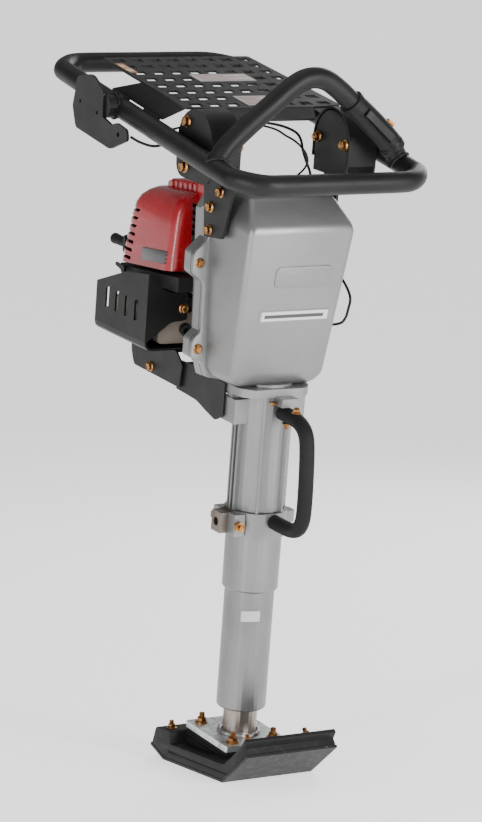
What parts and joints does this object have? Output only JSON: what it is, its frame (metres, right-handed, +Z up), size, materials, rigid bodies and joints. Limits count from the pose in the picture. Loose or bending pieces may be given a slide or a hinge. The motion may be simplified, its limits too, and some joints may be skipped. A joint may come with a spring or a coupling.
{
  "type": "petrol trench rammer",
  "caption": "Narrow petrol trench rammer: black shoe on a leaning ram column, silver crank housing, red engine behind, looped tube handle with a bow, throttle grip and deck plate.",
  "frame": {"origin": "on the sole, below the ram axis, where the ram axis meets the ground", "axes": "+Z up, -Y the front of the machine where the operator's handle loop ends nearest the shoe's toe, +X the machine's right-hand side; the ram axis leans 8.2 degrees to the front in the YZ plane"},
  "size_m": [0.3471, 0.6038, 1.0423],
  "materials": {
    "black_coat": "satin black powder coat on sheet steel",
    "handle_tube": "satin black powder coat",
    "shoe_plastic": "matt black moulded block, scuffed",
    "rubber": "matt black rubber",
    "cable_sheath": "black sheath",
    "black_plastic": "satin black moulding",
    "red_plastic": "glossy dark red moulding",
    "orange_plastic": "orange push button",
    "tank_plastic": "translucent natural moulding",
    "cast_aluminium": "fine sand cast, silver painted",
    "brushed_tube": "turned and ground tube",
    "galvanised": "zinc plated plate",
    "muffler_metal": "heat-stained pressed cover",
    "yellow_zinc": "yellow zinc plating",
    "dark_steel": "machined steel"
  },
  "bodies": {
    "machine": {"air_cleaner_case": "black_plastic", "carry_handle": "rubber", "clamp_block": "dark_steel", "clamp_bolt": "yellow_zinc", "clamp_collar": "cast_aluminium", "engine_block": "cast_aluminium", "engine_shroud": "red_plastic", "front_cover": "cast_aluminium", "front_skid": "black_coat", "fuel_tank": "tank_plastic", "guide_bush": "black_plastic", "guide_cylinder": "cast_aluminium", "isolator_left": "rubber", "isolator_right": "rubber", "lower_sleeve": "brushed_tube", "muffler": "muffler_metal", "rear_housing": "cast_aluminium", "rear_skid": "black_coat", "recoil_cover": "black_plastic", "side_plate_left": "black_coat", "side_plate_right": "black_coat", "stop_wire": "cable_sheath", "tank_guard": "black_coat", "throttle_cable": "cable_sheath", "top_duct": "red_plastic", "upper_bush": "black_plastic", "upper_sleeve": "brushed_tube"},
    "foot": {"sole_plate": "dark_steel", "shoe_block": "shoe_plastic", "wedge_pad": "rubber", "foot_plate": "galvanised", "plate_bolt_1": "yellow_zinc", "plate_bolt_2": "yellow_zinc", "plate_bolt_3": "yellow_zinc", "plate_bolt_4": "yellow_zinc", "ram_tube": "dark_steel", "ram_cap": "dark_steel", "lower_spring": "dark_steel", "upper_spring": "dark_steel"},
    "crosshead": {"piston_rod": "dark_steel"},
    "crank": {"crank_gear": "dark_steel"},
    "rod": {"connecting_rod": "dark_steel", "wrist_pin": "brushed_tube"},
    "drum": {"pinion_shaft": "dark_steel", "clutch_drum": "dark_steel"},
    "rotor": {"crankshaft": "brushed_tube", "clutch_rotor": "dark_steel", "flywheel_fan": "cast_aluminium"},
    "handle": {"handle_loop": "handle_tube", "handle_bow": "handle_tube", "deck_plate": "black_coat", "cable_bracket": "black_coat", "throttle_grip": "black_plastic", "handle_bracket_left": "black_coat", "handle_bracket_right": "black_coat"},
    "trigger": {"throttle_trigger": "black_plastic"},
    "switch": {"stop_switch": "orange_plastic"},
    "starter": {"recoil_grip": "rubber"},
    "cap": {"fuel_cap": "black_plastic"},
    "choke": {"choke_lever": "black_plastic"}
  },
  "joints": [
    {"name": "ram_slide", "type": "slide", "parent": "machine", "child": "foot", "axis": [0, 0.1426, -0.9898], "range_m": [0, 0.04]},
    {"name": "crosshead_slide", "type": "slide", "parent": "machine", "child": "crosshead", "axis": [0, -0.1426, 0.9898], "range_m": [0, 0.04], "deforming": ["lower_spring", "upper_spring"]},
    {"name": "crank_spin", "type": "hinge", "parent": "machine", "child": "crank", "pos_m": [0, -0.0633, 0.64961], "axis": [0, 0.9898, 0.1426], "continuous": true},
    {"name": "rod_pivot", "type": "hinge", "parent": "crank", "child": "rod", "pos_m": [0, -0.09014, 0.62554], "axis": [0, 0.9898, 0.1426], "continuous": true},
    {"name": "drum_spin", "type": "hinge", "parent": "machine", "child": "drum", "pos_m": [0, -0.04388, 0.72516], "axis": [0, 0.9898, 0.1426], "continuous": true},
    {"name": "engine_spin", "type": "hinge", "parent": "machine", "child": "rotor", "pos_m": [0, 0.09469, 0.74512], "axis": [0, 0.9898, 0.1426], "continuous": true},
    {"name": "handle_rock", "type": "hinge", "parent": "machine", "child": "handle", "pos_m": [0, -0.1185, 0.92051], "axis": [1, 0, 0], "range_deg": [-3, 3], "stiffness_Nm_per_rad": 900},
    {"name": "trigger_pull", "type": "hinge", "parent": "handle", "child": "trigger", "pos_m": [0.0805, -0.23177, 0.96336], "axis": [0.6508, -0.1083, 0.7515], "range_deg": [0, 3.5], "stiffness_Nm_per_rad": 0.6, "springref_deg": -2.86},
    {"name": "switch_press", "type": "slide", "parent": "handle", "child": "switch", "axis": [-0.6508, 0.1083, -0.7515], "range_m": [0, 0.002], "stiffness_N_per_m": 300, "springref_m": -0.002},
    {"name": "starter_pull", "type": "slide", "parent": "machine", "child": "starter", "axis": [0, 0.9898, 0.1426], "range_m": [0, 0.1], "stiffness_N_per_m": 20, "springref_m": -0.2},
    {"name": "cap_turn", "type": "hinge", "parent": "machine", "child": "cap", "pos_m": [0.048, 0.20679, 0.66833], "axis": [0, 0.9898, 0.1426], "range_deg": [0, 180]},
    {"name": "choke_turn", "type": "hinge", "parent": "machine", "child": "choke", "pos_m": [-0.0995, 0.15991, 0.72724], "axis": [1, 0, 0], "range_deg": [0, 45]}
  ],
  "couplings": [
    {"joint": "rod_pivot", "follows": "crank_spin", "ratio": -1},
    {"joint": "drum_spin", "follows": "crank_spin", "ratio": -5.4}
  ]
}
